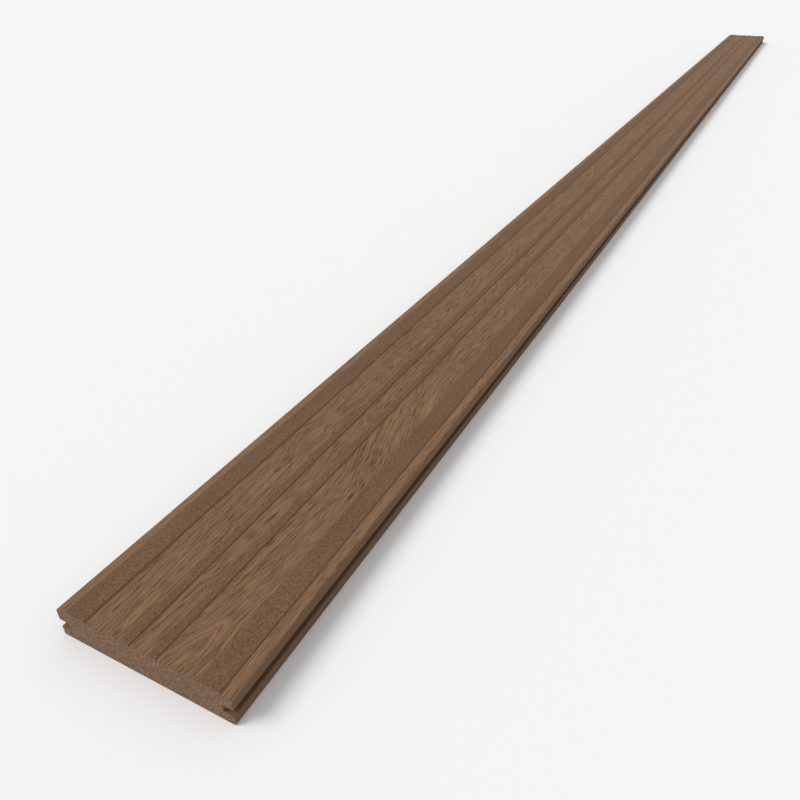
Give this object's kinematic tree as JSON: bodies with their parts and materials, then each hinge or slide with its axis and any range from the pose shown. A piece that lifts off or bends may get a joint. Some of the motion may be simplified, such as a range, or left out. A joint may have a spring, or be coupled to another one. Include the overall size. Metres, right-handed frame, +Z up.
{
  "type": "decking board",
  "caption": "Long flat composite decking plank with raised plain ribs, sunk wood-grain bands and a clip groove along each edge.",
  "frame": {"origin": "centre of the flat underside", "axes": "+X along the board's length, +Y across its width, +Z up through the ribbed walking face"},
  "size_m": [3.6, 0.14, 0.025],
  "materials": {
    "brown_composite": "matte"
  },
  "bodies": {
    "root": {"decking_board": "brown_composite"}
  },
  "joints": []
}
